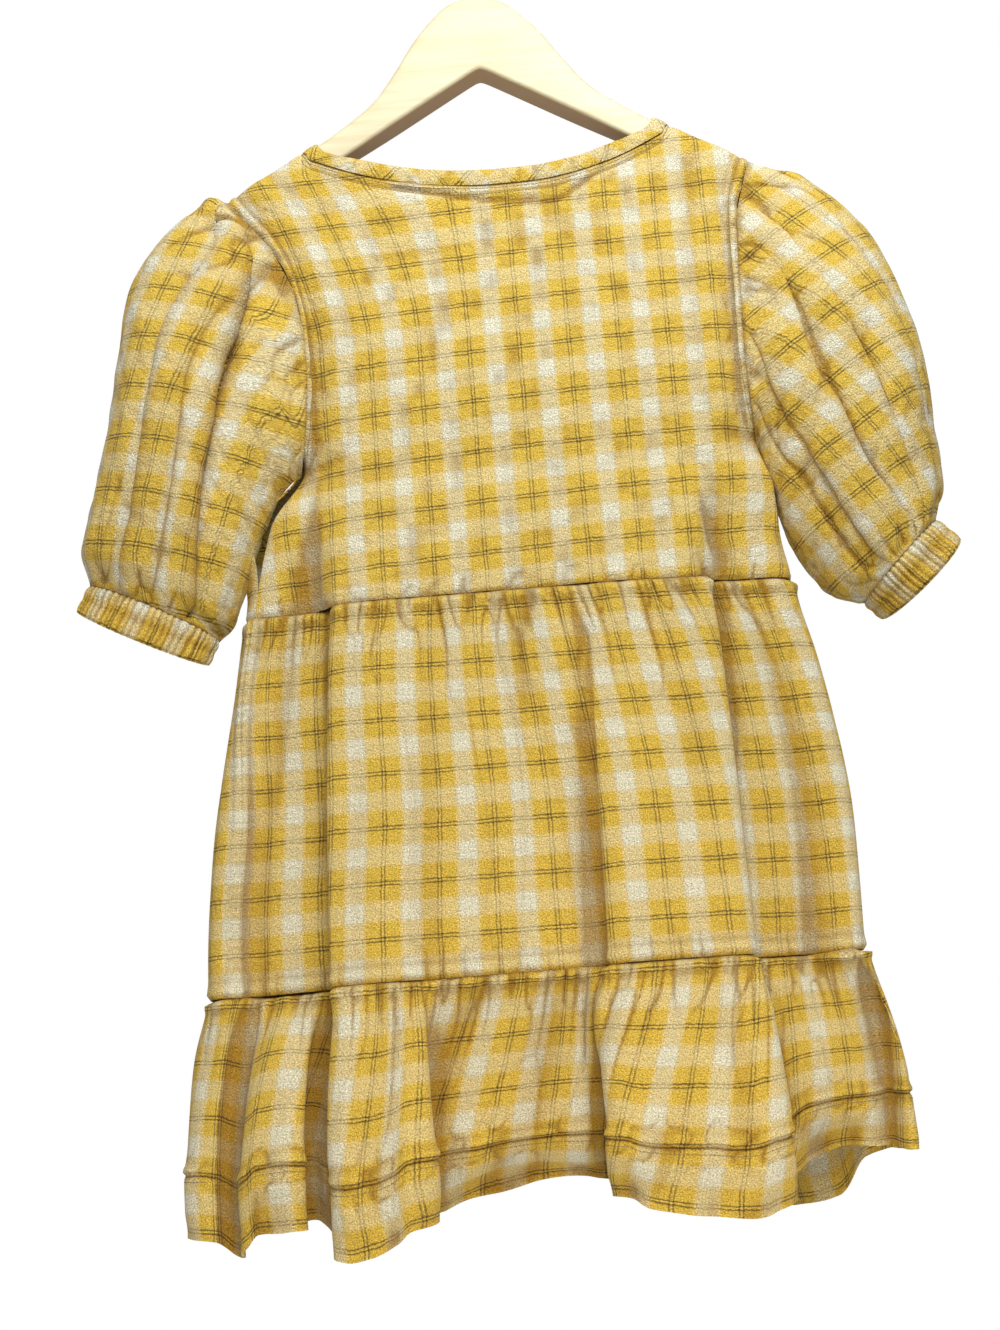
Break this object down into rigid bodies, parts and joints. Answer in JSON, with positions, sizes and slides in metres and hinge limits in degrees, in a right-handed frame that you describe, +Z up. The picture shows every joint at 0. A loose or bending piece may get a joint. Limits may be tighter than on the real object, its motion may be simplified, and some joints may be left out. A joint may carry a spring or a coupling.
{
  "type": "puff sleeve dress on a wooden hanger",
  "caption": "Yellow plaid crinkle cotton dress with puff sleeves, round neck and gathered tiers, hung flat on a plain pale wooden hanger with a steel hook",
  "frame": {"origin": "Inside top of the hook, where it hangs on a rail (mount hook_rest)", "axes": "X along the shoulders, to the right as seen from behind the dress; Y through the dress, from its back to its front; Z up, along the hook's stem"},
  "size_m": [0.6436, 0.1466, 1.0254],
  "materials": {
    "check_back_bodice": "crinkled plain weave, yellow and cream plaid",
    "check_front_bodice": "crinkled plain weave, yellow and cream plaid",
    "check_sleeve_left": "crinkled plain weave, yellow and cream plaid",
    "check_sleeve_right": "crinkled plain weave, yellow and cream plaid",
    "check_cuff_left": "elasticated plain weave, yellow and cream plaid",
    "check_cuff_right": "elasticated plain weave, yellow and cream plaid",
    "check_neck_binding": "the same plaid cut on the bias",
    "check_middle_tier_back": "crinkled plain weave, yellow and cream plaid",
    "check_middle_tier_front": "crinkled plain weave, yellow and cream plaid",
    "check_bottom_tier_back": "crinkled plain weave, yellow and cream plaid",
    "check_bottom_tier_front": "crinkled plain weave, yellow and cream plaid",
    "wood_hanger": "pale smooth wood, satin",
    "steel_hook": "bright steel wire"
  },
  "bodies": {
    "root": {"back_bodice": "check_back_bodice", "front_bodice": "check_front_bodice", "sleeve_left": "check_sleeve_left", "sleeve_right": "check_sleeve_right", "cuff_left": "check_cuff_left", "cuff_right": "check_cuff_right", "neck_binding": "check_neck_binding", "middle_tier_back": "check_middle_tier_back", "middle_tier_front": "check_middle_tier_front", "bottom_tier_back": "check_bottom_tier_back", "bottom_tier_front": "check_bottom_tier_front", "hanger_body": "wood_hanger", "hanger_hook": "steel_hook"}
  },
  "joints": []
}
